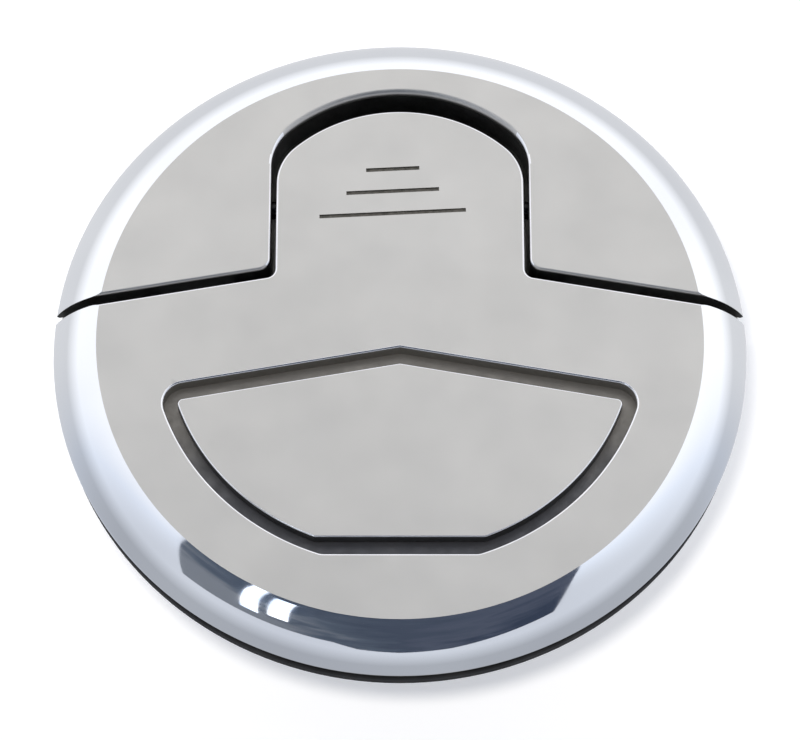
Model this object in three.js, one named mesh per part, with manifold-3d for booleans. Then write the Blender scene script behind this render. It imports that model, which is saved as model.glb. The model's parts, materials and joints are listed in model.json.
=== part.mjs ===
// Deck fill cap for a boat: a round fitting with a push-to-open flap lid over a quarter-turn fill cap.
// Millimetres, +Z up. The origin is on the filler neck's axis, at the deck surface.
// +Y points to the hinge and its push tail; the lid opens from the -Y side.
import * as THREE from 'three';
import { mergeVertices } from 'three/addons/utils/BufferGeometryUtils.js';
import Module from 'manifold-3d';

const wasm = await Module();
wasm.setup();

// ---- driving dimensions ----
const outerRadius = 56.5; // sold as a 4.5 inch fitting
const faceRadius = 49.2; // flat top, inside the rim's round
const faceZ = 10.6; // top of lid and rear cover
const rimCornerZ = 5.2; // where the rim's round meets its short upright edge
const skirtZ = 4.4; // underside of lid rim and rear cover
const rimRoundRadius = 10.1;
const skirtInner = 52.5;
const plateUnderZ = 7.6; // underside of the lid's and rear cover's top wall

const splitGap = 1.6; // seam between lid and rear cover
const splitCorner = [21.6, 11.2]; // where the seam leaves the tongue
const splitSlope = Math.tan(THREE.MathUtils.degToRad(10));

const tongue = { half: 20.4, tip: 41.2, round: 26, shoulder: 9 };
const arch = { half: 21.2, tip: 44.6, round: 27.5, shoulder: 9.5 };
const pocketClearance = 0.4; // tail pocket in the base, wider than the arch

const inlay = { radius: 40.6, flat: -38.1, apex: -2.2, slope: 0.18, corner: 4, floorZ: 8.1, bossZ: 6 };
const inlayMoat = 2.8;
const inlayStud = { x: 20, y: -20, radius: 1.2, under: 4.9 };
const studNut = { radius: 3.4, height: 0.6, lift: 0.2 };
const engraved = { x: -1.2, wide: 0.6, deep: 0.4, tiltDeg: 3, rows: [[30.3, 8.8], [26.2, 15.3], [22.1, 24.1]] };

const hinge = { y: 25.8, z: 4.3, pinRadius: 1.5, pinHalf: 26.2 };
const lug = { inner: 9.5, outer: 18.5, radius: 3.9, half: 3.5, bore: 2.7 };
const bushFlangeRadius = 2.9;
const post = { inner: 22, outer: 26, half: 4, top: 7.2 };
const spring = { half: 7.5, meanRadius: 2.35, wire: 0.8, turns: 7, leg: 8 };

const gasket = { inner: 47.8, outer: 56.1, top: 2 };
const flange = { radius: 55.8, under: 2.3, top: 4.1 };
const bowl = { radius: 29, wall: 3, floorZ: -14.5, underZ: -17, cutRadius: 46.2, neckHole: 21 };

const neck = { bore: 16.2, outer: 19, collar: 20.6, lipBore: 17.4, channel: 19.2, top: -5.3, bottom: -62 };
const neckFlange = { radius: 28, top: -18.6, under: -21.6 };
const barb = { count: 3, pitch: 9, root: -0.6, tip: 0.7 }; // root and tip measured from the neck's outside
const neckSeal = { inner: 21.3, outer: 27.8, under: -18.3, top: -17.3 };
const cap = { radius: 21.5, under: -4.6, top: -1.6, gripTop: 5, plug: 16.9, lugRadius: 18.8, bottom: -11.5 };
const capSeal = { radius: 19, section: 0.7, z: -4.15, grooveTop: -3.1, grooveHalf: 1 };
const capLug = { top: -8.1, under: -10.5, half: 6, entryHalf: 7.2, lip: 2.4 };
const capGrip = { halfLength: 19, halfWidth: 6.5, scoop: 12, scoopY: 14.2, notches: 12, notch: 1.5 };

const mountHole = { count: 6, circle: 51.5, head: 3.6, shank: 1.9, length: 22 };
const neckScrew = { count: 3, circle: 24.7, head: 3, shank: 1.5, length: 7 };
const coverScrew = { x: 33, y: 4.5, head: 3.4, shank: 1.6, length: 10, seatZ: 6.6 };
const coverTabRadius = 6;
const coverBoss = { radius: 4, under: -7 }; // blind threaded bosses below the base flange
const bonding = { eye: 4.2, bladeHalf: 3.1, bladeEnd: 17, thick: 0.8, hole: 2.1 };
const bumper = { x: 42, y: -20, radius: 3 };
const fit = 0.3; // gap kept between neighbouring pieces

// ---- finishes ----
const finishes = {
  polished: { color: 0xd4d6da, roughness: 0.12, metalness: 1 },
  satin: { color: 0xc6c5c3, roughness: 0.38, metalness: 1 },
  castSteel: { color: 0xa9abad, roughness: 0.5, metalness: 1 },
  springSteel: { color: 0x9a9c9e, roughness: 0.3, metalness: 1 },
  rubber: { color: 0x1c1c1d, roughness: 0.8, metalness: 0 },
  acetal: { color: 0xe6e3da, roughness: 0.45, metalness: 0 },
  blackNylon: { color: 0x232425, roughness: 0.55, metalness: 0 },
  tinnedCopper: { color: 0xb9b6ad, roughness: 0.4, metalness: 1 },
};

// ---- helpers ----
function toSolid(geometry) {
  const bare = geometry.clone();
  bare.deleteAttribute('normal');
  bare.deleteAttribute('uv');
  const merged = mergeVertices(bare, 1e-4);
  return new wasm.Manifold(new wasm.Mesh({
    numProp: 3,
    vertProperties: new Float32Array(merged.attributes.position.array),
    triVerts: new Uint32Array(merged.index.array),
  }));
}

function toGeometry(body) {
  const mesh = body.getMesh();
  const geometry = new THREE.BufferGeometry();
  geometry.setAttribute('position', new THREE.BufferAttribute(mesh.vertProperties, 3));
  geometry.setIndex(new THREE.BufferAttribute(mesh.triVerts, 1));
  geometry.computeVertexNormals();
  return geometry;
}

// A profile of [radius, z] points, counter-clockwise as seen with z up, turned about the Z axis.
function turned(profile, segments = 48) {
  const points = profile.map(([r, z]) => new THREE.Vector2(r, z));
  if (profile[0][0] > 0) points.push(points[0].clone());
  return toSolid(new THREE.LatheGeometry(points, segments).rotateX(Math.PI / 2));
}

function prism(shape, z0, z1, curveSegments = 16) {
  const options = { depth: z1 - z0, bevelEnabled: false, curveSegments };
  return toSolid(new THREE.ExtrudeGeometry(shape, options).translate(0, 0, z0));
}

function rod(radius, z0, z1, x = 0, y = 0, segments = 32) {
  const geometry = new THREE.CylinderGeometry(radius, radius, z1 - z0, segments);
  return toSolid(geometry.rotateX(Math.PI / 2).translate(x, y, (z0 + z1) / 2));
}

function crossRod(radius, x0, x1, y, z, segments = 24) {
  const geometry = new THREE.CylinderGeometry(radius, radius, x1 - x0, segments);
  return toSolid(geometry.rotateZ(Math.PI / 2).translate((x0 + x1) / 2, y, z));
}

function block(x0, x1, y0, y1, z0, z1) {
  const geometry = new THREE.BoxGeometry(x1 - x0, y1 - y0, z1 - z0);
  return toSolid(geometry.translate((x0 + x1) / 2, (y0 + y1) / 2, (z0 + z1) / 2));
}

function onCircle(count, radius, startDeg) {
  return Array.from({ length: count }, (_, i) => {
    const angle = THREE.MathUtils.degToRad(startDeg + (360 / count) * i);
    return [radius * Math.cos(angle), radius * Math.sin(angle)];
  });
}

const sides = [['left', -1], ['right', 1]];
const assembly = new THREE.Group();

function place(name, body, finish, x = 0, y = 0, z = 0) {
  const geometry = body.isBufferGeometry ? body : toGeometry(body);
  const mesh = new THREE.Mesh(geometry, new THREE.MeshStandardMaterial(finishes[finish]));
  mesh.name = name;
  mesh.position.set(x, y, z);
  assembly.add(mesh);
}

// ---- outlines in plan ----
// The seam's height at x, on the neck side (-1) or the hinge side (+1) of its gap.
function seamY(x, side) {
  return splitCorner[1] - splitSlope * (Math.abs(x) - splitCorner[0]) + (side * splitGap) / 2;
}

function arcPoints(x, y, radius, from, to, steps) {
  return Array.from({ length: steps + 1 }, (_, i) => {
    const angle = from + ((to - from) * i) / steps;
    return [x + radius * Math.cos(angle), y + radius * Math.sin(angle)];
  });
}

// Right half of a round-shouldered arch: upright side, shoulder arc, then the tip's arc.
function archPoints({ half, tip, round, shoulder }, grow = 0) {
  const centreY = tip - round;
  const shoulderX = half - shoulder;
  const shoulderY = centreY + Math.sqrt((round - shoulder) ** 2 - shoulderX ** 2);
  const tangent = Math.atan2(shoulderY - centreY, shoulderX);
  return [...arcPoints(shoulderX, shoulderY, shoulder + grow, 0, tangent, 6),
    ...arcPoints(0, centreY, round + grow, tangent, Math.PI / 2, 8)];
}

function mirrored(rightHalf) {
  const leftHalf = rightHalf.map(([x, y]) => [-x, y]).reverse();
  const all = [...rightHalf, ...leftHalf].filter((p, i, list) => {
    const q = list[(i + 1) % list.length];
    return Math.hypot(p[0] - q[0], p[1] - q[1]) > 1e-6;
  });
  return new THREE.Shape(all.map(([x, y]) => new THREE.Vector2(x, y)));
}

const far = outerRadius + 10;

function lidOutline() {
  return mirrored([[0, -far], [far, -far], [far, seamY(far, -1)],
    [splitCorner[0], seamY(splitCorner[0], -1)], [tongue.half, seamY(splitCorner[0], -1) + 1.2],
    ...archPoints(tongue)]);
}

function rearOutline() {
  const inside = archPoints(arch);
  return mirrored([...inside.reverse(), [arch.half, seamY(arch.half, 1) + 1.5],
    [arch.half + 1.5, seamY(arch.half + 1.5, 1)], [far, seamY(far, 1)], [far, far], [0, far]]);
}

function archOutline(grow, fromY = 0) {
  return mirrored([[0, fromY], [arch.half + grow, fromY], ...archPoints(arch, grow)]);
}

// The inlay's five-sided window, shrunk inwards by `inset`: flat foot, round sides, chevron top.
function inlayOutline(inset) {
  const radius = inlay.radius - inset;
  const corner = inlay.corner - inset;
  const foot = inlay.flat + inset;
  const tilt = Math.hypot(1, inlay.slope);
  const apex = inlay.apex - inset * tilt;
  const k = apex - corner * tilt;
  const root = Math.sqrt((k * inlay.slope) ** 2 - tilt ** 2 * (k ** 2 - (radius - corner) ** 2));
  const cornerX = (k * inlay.slope + root) / tilt ** 2;
  const cornerY = k - inlay.slope * cornerX;
  const sideStart = Math.asin(foot / radius);
  const sideEnd = Math.atan2(cornerY, cornerX);
  return mirrored([...arcPoints(0, 0, radius, sideStart, sideEnd, 12),
    ...arcPoints(cornerX, cornerY, corner, sideEnd, Math.atan2(1, inlay.slope), 6), [0, apex]]);
}

// ---- lid and rear cover ----
// The whole round top: a flat face, a convex rim and a short upright edge.
function topPuck() {
  const a = new THREE.Vector2(faceRadius, faceZ);
  const b = new THREE.Vector2(outerRadius, rimCornerZ);
  const chord = b.clone().sub(a);
  const rise = Math.sqrt(rimRoundRadius ** 2 - chord.lengthSq() / 4);
  const centre = a.clone().add(b).multiplyScalar(0.5)
    .add(new THREE.Vector2(chord.y, -chord.x).normalize().multiplyScalar(rise));
  const start = Math.atan2(b.y - centre.y, b.x - centre.x);
  const end = Math.atan2(a.y - centre.y, a.x - centre.x);
  const round = arcPoints(centre.x, centre.y, rimRoundRadius, start, end, 6);
  return turned([[0, skirtZ], [outerRadius, skirtZ], ...round, [0, faceZ]], 80);
}

function makeLid() {
  const under = rod(skirtInner, skirtZ - 1, plateUnderZ, 0, 0, 64);
  let body = prism(lidOutline(), skirtZ, faceZ).intersect(topPuck()).subtract(under);
  const boss = prism(inlayOutline(-1.5), inlay.bossZ, plateUnderZ + 0.5);
  body = body.add(boss).subtract(prism(inlayOutline(0), inlay.floorZ, faceZ + 1));
  for (const [, side] of sides) {
    const x0 = side > 0 ? lug.inner : -lug.outer;
    const x1 = side > 0 ? lug.outer : -lug.inner;
    body = body.add(crossRod(lug.radius, x0, x1, hinge.y, hinge.z))
      .add(block(x0 + 0.3, x1 - 0.3, hinge.y - lug.half, hinge.y + lug.half, hinge.z, plateUnderZ + 0.5))
      .subtract(crossRod(lug.bore, x0 - 1, x1 + 1, hinge.y, hinge.z))
      .subtract(rod(inlayStud.radius + fit, 0, faceZ, side * inlayStud.x, inlayStud.y, 20));
  }
  for (const [y, length] of engraved.rows) {
    const line = new THREE.BoxGeometry(length, engraved.wide, 2 * engraved.deep);
    line.rotateZ(THREE.MathUtils.degToRad(engraved.tiltDeg)).translate(engraved.x, y, faceZ);
    body = body.subtract(toSolid(line));
  }
  return body;
}

function makeRearCover() {
  let body = prism(rearOutline(), skirtZ, faceZ).intersect(topPuck());
  const archWall = prism(archOutline(1.8, -far), skirtZ - 1, plateUnderZ + 1);
  const hollow = rod(skirtInner, skirtZ - 1, plateUnderZ, 0, 0, 64)
    .intersect(prism(mirrored([[0, far], [far, far], [far, seamY(far, 1) + 2], [0, seamY(0, 1) + 2]]),
      skirtZ - 1, plateUnderZ));
  body = body.subtract(hollow.subtract(archWall));
  for (const [, side] of sides) {
    const x0 = side > 0 ? arch.half - 1 : -post.outer - 1;
    const x1 = side > 0 ? post.outer + 1 : 1 - arch.half;
    body = body.subtract(block(x0, x1, hinge.y - 5, hinge.y + 5, skirtZ - 1, plateUnderZ));
    const x = side * coverScrew.x;
    const tab = rod(coverTabRadius, skirtZ, coverScrew.seatZ, x, coverScrew.y, 32)
      .add(block(x - coverTabRadius, x + coverTabRadius, coverScrew.y, seamY(x, 1) + 1.5, skirtZ, coverScrew.seatZ));
    body = body.add(tab).subtract(screwHole(coverScrew, coverScrew.seatZ).translate([x, coverScrew.y, 0]));
  }
  return body;
}

function makeInlay() {
  let body = prism(inlayOutline(inlayMoat), inlay.floorZ + fit, faceZ);
  for (const [, side] of sides) {
    body = body.add(rod(inlayStud.radius, inlayStud.under, inlay.floorZ + 1, side * inlayStud.x, inlayStud.y, 16));
  }
  return body;
}

// ---- screws ----
// A countersunk screw with its head's top at z = 0.
function screw({ head, shank, length }) {
  const taper = head - shank;
  const body = turned([[0, -length], [shank * 0.5, -length], [shank, -length + shank],
    [shank, -taper - 0.4], [head, -0.4], [head, 0], [0, 0]], 16);
  const slot = (angle) => toSolid(new THREE.BoxGeometry(head * 1.1, head * 0.24, 1.6).rotateZ(angle));
  return body.subtract(slot(0)).subtract(slot(Math.PI / 2));
}

function screwHole({ head, shank, length }, seatZ) {
  const h = head + fit;
  const s = shank + fit;
  return turned([[0, seatZ - length - 2], [s, seatZ - length - 2], [s, seatZ - (h - s) - 0.5],
    [h, seatZ - 0.5], [h, seatZ + 2], [0, seatZ + 2]], 16);
}

// ---- base ----
function makeBase() {
  const shell = rod(bowl.radius + bowl.wall, bowl.underZ, flange.under + 1, 0, 0, 64)
    .add(prism(archOutline(3, 10), bowl.underZ, flange.under + 1)
      .intersect(rod(bowl.cutRadius, bowl.underZ, flange.under + 1, 0, 0, 64)));
  let body = rod(flange.radius, flange.under, flange.top, 0, 0, 64).add(shell);
  for (const [, side] of sides) {
    body = body.add(rod(coverBoss.radius, coverBoss.under, flange.under + 1, side * coverScrew.x, coverScrew.y, 24));
  }
  body = body.subtract(rod(bowl.radius, bowl.floorZ, flange.top + 1, 0, 0, 64))
    .subtract(prism(archOutline(pocketClearance, 10), bowl.floorZ, flange.top + 1))
    .subtract(rod(bowl.neckHole, bowl.underZ - 1, bowl.floorZ + 1, 0, 0, 48));
  for (const [, side] of sides) {
    const x0 = side > 0 ? post.inner : -post.outer;
    const x1 = side > 0 ? post.outer : -post.inner;
    const slotHalf = hinge.pinRadius + fit;
    body = body.add(block(x0, x1, hinge.y - post.half, hinge.y + post.half, flange.under, post.top))
      .subtract(crossRod(slotHalf, x0 - 1, x1 + 1, hinge.y, hinge.z))
      .subtract(block(x0 - 1, x1 + 1, hinge.y - slotHalf, hinge.y + slotHalf, hinge.z, post.top + 1))
      .subtract(rod(coverScrew.shank + fit, coverBoss.under + 1, flange.top + 1, side * coverScrew.x, coverScrew.y, 20));
  }
  for (const [x, y] of onCircle(mountHole.count, mountHole.circle, 30)) {
    body = body.subtract(screwHole(mountHole, flange.top).translate([x, y, 0]));
  }
  for (const [x, y] of onCircle(neckScrew.count, neckScrew.circle, 30)) {
    body = body.subtract(screwHole(neckScrew, bowl.floorZ).translate([x, y, 0]));
  }
  return body;
}

function makeDeckGasket() {
  let body = turned([[gasket.inner, 0], [gasket.outer, 0], [gasket.outer, gasket.top],
    [gasket.inner, gasket.top]], 56);
  for (const [x, y] of onCircle(mountHole.count, mountHole.circle, 30)) {
    body = body.subtract(rod(mountHole.shank + fit, -1, gasket.top + 1, x, y, 16));
  }
  return body;
}

// ---- filler neck and cap ----
function makeNeck() {
  const { bore, outer, collar, lipBore, channel, top, bottom } = neck;
  const root = outer + barb.root;
  const barbs = Array.from({ length: barb.count }, (_, i) => {
    const z = bottom + 1 + barb.pitch * i;
    return [[root, z], [outer + barb.tip, z + barb.pitch - 2.5], [root, z + barb.pitch - 2]];
  }).flat();
  let body = turned([[bore, bottom], [root - 1, bottom], ...barbs, [root, neckFlange.under],
    [neckFlange.radius, neckFlange.under], [neckFlange.radius, neckFlange.top],
    [collar, neckFlange.top], [collar, top], [lipBore, top], [lipBore, top - capLug.lip],
    [channel, top - capLug.lip], [channel, cap.bottom - 1], [bore, cap.bottom - 1.6]], 44);
  const entry = block(-channel, channel, -capLug.entryHalf, capLug.entryHalf, top - 3, top + 1)
    .intersect(rod(channel, top - 3, top + 1));
  body = body.subtract(entry.subtract(rod(lipBore - 1, top - 4, top + 2)));
  for (const [x, y] of onCircle(neckScrew.count, neckScrew.circle, 30)) {
    body = body.subtract(rod(neckScrew.shank + fit, neckFlange.under - 1, neckFlange.top + 1, x, y, 16));
  }
  return body.subtract(rod(bonding.hole + fit, neckFlange.under - 1, neckFlange.top + 1, 0, neckScrew.circle, 16));
}

function makeNeckGasket() {
  const { inner, outer, under, top } = neckSeal;
  let body = turned([[inner, under], [outer, under], [outer, top], [inner, top]], 40);
  for (const [x, y] of onCircle(neckScrew.count, neckScrew.circle, 30)) {
    body = body.subtract(rod(neckScrew.shank + fit, under - 1, top + 1, x, y, 16));
  }
  return body.subtract(rod(bonding.hole + fit, under - 1, top + 1, 0, neckScrew.circle, 16));
}

function makeCap() {
  const { radius, under, top, gripTop, plug, lugRadius, bottom } = cap;
  let body = turned([[0, bottom + 3], [plug - 3, bottom + 3], [plug - 3, bottom], [plug, bottom],
    [plug, under], [radius, under], [radius, top - 0.8], [radius - 0.8, top], [0, top]], 48);
  const grip = new THREE.Shape();
  grip.absellipse(0, 0, capGrip.halfLength, capGrip.halfWidth, 0, Math.PI * 2);
  body = body.add(prism(grip, top - 0.5, gripTop, 10));
  for (const side of [-1, 1]) {
    const ball = new THREE.SphereGeometry(capGrip.scoop, 20, 12);
    const scoop = toSolid(ball.translate(0, side * capGrip.scoopY, gripTop + 2));
    body = body.subtract(scoop.subtract(rod(60, -20, top + 0.05)));
  }
  const lugs = block(-capLug.half, capLug.half, -lugRadius, lugRadius, capLug.under, capLug.top)
    .intersect(rod(lugRadius, -20, 0)).subtract(rod(plug - 1, -20, 0));
  const { radius: r, grooveHalf, grooveTop } = capSeal;
  body = body.add(lugs).subtract(turned([[r - grooveHalf, under - 1], [r + grooveHalf, under - 1],
    [r + grooveHalf, grooveTop], [r - grooveHalf, grooveTop]], 48).subtract(rod(plug + 0.5, -20, 0)));
  for (const [x, y] of onCircle(capGrip.notches, radius + 0.5, 15)) {
    body = body.subtract(rod(capGrip.notch, under - 1, top + 1, x, y, 8));
  }
  return body;
}

function makeCapSeal() {
  const section = arcPoints(capSeal.radius, capSeal.z, capSeal.section, 0, Math.PI * 2, 8).slice(0, -1);
  return turned(section, 40);
}

// ---- hinge ----
function makeBush() {
  const { inner, outer, bore } = lug;
  const shell = crossRod(bore - fit, inner - 0.1, outer - 0.1, 0, 0)
    .add(crossRod(bushFlangeRadius, outer + fit, outer + 1.6, 0, 0))
    .add(crossRod(bore - fit, outer - 0.2, outer + 1, 0, 0));
  return shell.subtract(crossRod(hinge.pinRadius + fit, 0, outer + 5, 0, 0));
}

// A torsion spring: close turns round the pin, with one leg on the lid and one on the base.
class SpringCurve extends THREE.Curve {
  getPoint(t, target = new THREE.Vector3()) {
    const coil = Math.min(Math.max((t - 0.1) / 0.8, 0), 1);
    const angle = coil * spring.turns * Math.PI * 2 + Math.PI / 2;
    const x = spring.half * (2 * coil - 1);
    const leg = Math.max(0.1 - t, t - 0.9, 0) * 10 * spring.leg;
    return target.set(x, spring.meanRadius * Math.cos(angle) - leg, spring.meanRadius * Math.sin(angle));
  }
}

function makeSpring() {
  const section = new THREE.Shape();
  section.absarc(0, 0, spring.wire / 2, 0, Math.PI * 2);
  const options = { extrudePath: new SpringCurve(), steps: spring.turns * 10 + 14, curveSegments: 3 };
  return new THREE.ExtrudeGeometry(section, options);
}

// ---- bonding lug under the neck ----
function makeBondingTag() {
  const outline = new THREE.Shape();
  const { eye, bladeHalf, bladeEnd, thick, hole } = bonding;
  outline.absarc(0, 0, eye, THREE.MathUtils.degToRad(125), THREE.MathUtils.degToRad(55) + Math.PI * 2);
  outline.lineTo(bladeHalf, bladeEnd);
  outline.lineTo(-bladeHalf, bladeEnd);
  return prism(outline, 0, thick, 12).subtract(rod(hole + 0.2, -1, 2, 0, 0, 20));
}

function makeBondingScrew() {
  const body = turned([[0, -2.6], [3.2, -2.6], [3.8, -2], [3.8, 0], [1.8, 0], [1.8, 4.2], [0, 4.2]], 24);
  return body.subtract(toSolid(new THREE.BoxGeometry(9, 1.1, 2).translate(0, 0, -2.6)));
}

// ---- the assembly ----
place('deck_gasket', makeDeckGasket(), 'rubber');
place('base_flange', makeBase(), 'castSteel');
place('neck_gasket', makeNeckGasket(), 'rubber');
place('filler_neck', makeNeck(), 'castSteel');
place('rear_cover', makeRearCover(), 'satin');
place('lid', makeLid(), 'satin');
place('ident_plate', makeInlay(), 'satin');
place('fill_cap', makeCap(), 'blackNylon');
place('cap_o_ring', makeCapSeal(), 'rubber');
place('hinge_pin', crossRod(hinge.pinRadius, -hinge.pinHalf, hinge.pinHalf, 0, 0), 'springSteel', 0, hinge.y, hinge.z);
place('hinge_spring', makeSpring(), 'springSteel', 0, hinge.y, hinge.z);

for (const [word, side] of sides) {
  const bush = makeBush();
  place(`hinge_bush_${word}`, side > 0 ? bush : bush.mirror([1, 0, 0]), 'acetal', 0, hinge.y, hinge.z);
  const nut = rod(studNut.radius, 0, studNut.height, 0, 0, 24)
    .subtract(rod(inlayStud.radius + studNut.lift, -1, 2, 0, 0, 12));
  place(`plate_nut_${word}`, nut, 'springSteel', side * inlayStud.x, inlayStud.y, inlayStud.under + studNut.lift);
  place(`lid_bumper_${word}`, rod(bumper.radius, skirtZ, plateUnderZ - fit, 0, 0, 24), 'rubber',
    side * bumper.x, bumper.y, 0);
  place(`cover_screw_${word}`, screw(coverScrew), 'polished', side * coverScrew.x, coverScrew.y, coverScrew.seatZ);
}

onCircle(neckScrew.count, neckScrew.circle, 30).forEach(([x, y], i) => {
  place(`neck_screw_${i + 1}`, screw(neckScrew), 'polished', x, y, bowl.floorZ);
});
place('bonding_tag', makeBondingTag(), 'tinnedCopper', 0, neckScrew.circle, neckFlange.under - 1.2);
place('bonding_screw', makeBondingScrew(), 'polished', 0, neckScrew.circle, neckFlange.under - 1.5);

assembly.name = 'deck_fill_cap';
export default assembly;
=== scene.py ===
import json
import math

import bpy
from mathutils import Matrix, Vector


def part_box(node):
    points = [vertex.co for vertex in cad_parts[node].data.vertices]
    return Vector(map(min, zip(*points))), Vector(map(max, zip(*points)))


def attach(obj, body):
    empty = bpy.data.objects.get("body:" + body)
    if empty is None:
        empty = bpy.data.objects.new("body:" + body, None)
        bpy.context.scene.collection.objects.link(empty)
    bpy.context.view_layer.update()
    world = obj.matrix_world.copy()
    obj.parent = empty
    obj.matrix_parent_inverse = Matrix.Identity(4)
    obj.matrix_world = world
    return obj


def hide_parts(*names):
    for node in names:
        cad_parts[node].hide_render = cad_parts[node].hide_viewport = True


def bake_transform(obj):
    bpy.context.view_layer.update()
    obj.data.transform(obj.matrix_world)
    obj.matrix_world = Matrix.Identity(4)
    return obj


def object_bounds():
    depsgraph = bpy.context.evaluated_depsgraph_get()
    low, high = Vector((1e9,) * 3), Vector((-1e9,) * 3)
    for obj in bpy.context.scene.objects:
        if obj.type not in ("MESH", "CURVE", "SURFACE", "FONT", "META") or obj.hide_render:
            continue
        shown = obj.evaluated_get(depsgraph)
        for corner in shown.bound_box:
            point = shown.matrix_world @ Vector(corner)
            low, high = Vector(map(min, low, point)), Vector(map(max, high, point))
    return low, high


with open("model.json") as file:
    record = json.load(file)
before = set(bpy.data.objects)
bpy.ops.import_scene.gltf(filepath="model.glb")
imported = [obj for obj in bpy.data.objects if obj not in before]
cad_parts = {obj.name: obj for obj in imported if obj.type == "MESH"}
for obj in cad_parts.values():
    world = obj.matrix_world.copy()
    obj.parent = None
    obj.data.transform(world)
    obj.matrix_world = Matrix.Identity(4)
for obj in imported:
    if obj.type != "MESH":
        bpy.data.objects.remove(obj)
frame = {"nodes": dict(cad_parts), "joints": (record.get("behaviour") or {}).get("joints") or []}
cadBox = [list(corner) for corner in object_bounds()]
mm = 0.001
print("frame loaded:", len(frame["nodes"]), "nodes")


def nodeBox(name):  # corners of a CAD node, in millimetres
    low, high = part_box(name)
    return low / mm, high / mm


def makeActive(obj):
    bpy.ops.object.select_all(action="DESELECT")
    obj.select_set(True)
    bpy.context.view_layer.objects.active = obj


def settle(obj, name):  # object back to the origin, place kept in the mesh
    makeActive(obj)
    bpy.ops.object.transform_apply(location=True, rotation=True, scale=True)
    obj.name = name
    obj.data.name = name
    return obj


def openEdit(obj, mode="FACE"):
    makeActive(obj)
    bpy.ops.object.mode_set(mode="EDIT")
    bpy.ops.mesh.select_mode(type=mode)
    bpy.ops.mesh.select_all(action="DESELECT")
    bpy.ops.object.mode_set(mode="OBJECT")


def selectFaces(obj, test):  # leaves edit mode open with the faces that pass the test
    openEdit(obj, "FACE")
    for face in obj.data.polygons:
        face.select = test(face.center / mm, face.normal)
    bpy.ops.object.mode_set(mode="EDIT")


def selectEdges(obj, test):
    openEdit(obj, "EDGE")
    points = obj.data.vertices
    for edge in obj.data.edges:
        a, b = (points[i].co / mm for i in edge.vertices)
        edge.select = test(a, b)
    bpy.ops.object.mode_set(mode="EDIT")


def closeEdit():
    bpy.ops.object.mode_set(mode="OBJECT")


def editAll(obj, mode="FACE"):  # leaves edit mode open with everything selected
    openEdit(obj, mode)
    bpy.ops.object.mode_set(mode="EDIT")
    bpy.ops.mesh.select_all(action="SELECT")


def fixNormals(obj):
    editAll(obj)
    bpy.ops.mesh.remove_doubles(threshold=2e-6)
    bpy.ops.mesh.delete_loose()
    bpy.ops.mesh.select_all(action="SELECT")
    bpy.ops.mesh.normals_make_consistent(inside=False)
    closeEdit()
    return obj


def applyModifier(obj, kind, **settings):
    modifier = obj.modifiers.new(kind.lower(), kind)
    for key, value in settings.items():
        setattr(modifier, key, value)
    makeActive(obj)
    bpy.ops.object.modifier_apply(modifier=modifier.name)


def combine(obj, other, how="DIFFERENCE"):  # boolean with a helper solid, which is then removed
    applyModifier(obj, "BOOLEAN", operation=how, object=other, solver="EXACT")
    bpy.data.objects.remove(other, do_unlink=True)
    return obj


def smooth(obj, degrees=32, weigh=True):
    makeActive(obj)
    bpy.ops.object.shade_smooth_by_angle(angle=math.radians(degrees), keep_sharp_edges=True)
    if weigh:
        applyModifier(obj, "WEIGHTED_NORMAL", keep_sharp=True, weight=60)


def arc(x, y, radius, start, end, steps):  # points of an arc, angles in radians
    turns = [start + (end - start) * i / steps for i in range(steps + 1)]
    return [(x + radius * math.cos(a), y + radius * math.sin(a)) for a in turns]


def ring(points, name, plane="XY", fill="NGON", level=0.0):
    bpy.ops.mesh.primitive_circle_add(vertices=len(points), radius=1, fill_type=fill)
    obj = settle(bpy.context.object, name)
    for vertex, (u, v) in zip(obj.data.vertices, points):
        spot = (u, v, level) if plane == "XY" else (u, 0, v)
        vertex.co = Vector(spot) * mm
    return obj


def slab(name, points, low, high):  # an outline raised into a plate
    obj = ring(points, name, level=low)
    editAll(obj)
    bpy.ops.mesh.extrude_region_move(TRANSFORM_OT_translate={"value": (0, 0, (high - low) * mm)})
    closeEdit()
    return fixNormals(obj)


def turned(name, profile, steps):  # a lathe profile spun round the upright axis
    obj = ring(profile, name, plane="XZ", fill="NOTHING")
    editAll(obj, "EDGE")
    bpy.ops.mesh.spin(steps=steps, angle=math.tau, center=(0, 0, 0), axis=(0, 0, 1), use_auto_merge=True)
    closeEdit()
    return fixNormals(obj)


def cylinder(name, radius, low, high, x=0.0, y=0.0, sides=64):
    bpy.ops.mesh.primitive_cylinder_add(vertices=sides, radius=radius * mm, depth=(high - low) * mm,
                                        location=(x * mm, y * mm, (low + high) / 2 * mm))
    return settle(bpy.context.object, name)


def crossCylinder(name, radius, x0, x1, y, z, sides=64):
    bpy.ops.mesh.primitive_cylinder_add(vertices=sides, radius=radius * mm, depth=(x1 - x0) * mm,
                                        rotation=(0, math.pi / 2, 0),
                                        location=((x0 + x1) / 2 * mm, y * mm, z * mm))
    return settle(bpy.context.object, name)


def block(name, low, high, turn=0.0):
    centre = [(a + b) / 2 * mm for a, b in zip(low, high)]
    size = [(b - a) * mm for a, b in zip(low, high)]
    bpy.ops.mesh.primitive_cube_add(size=1, location=centre, rotation=(0, 0, turn), scale=size)
    return settle(bpy.context.object, name)


def onCircle(count, radius, startDegrees):
    turns = [math.radians(startDegrees + 360 / count * i) for i in range(count)]
    return [(radius * math.cos(a), radius * math.sin(a)) for a in turns]


def finishPiece(obj, body, replaced, materials):
    obj.data.materials.clear()
    for material in materials:
        obj.data.materials.append(material)
    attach(obj, body)
    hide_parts(*replaced)
    return obj


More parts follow.
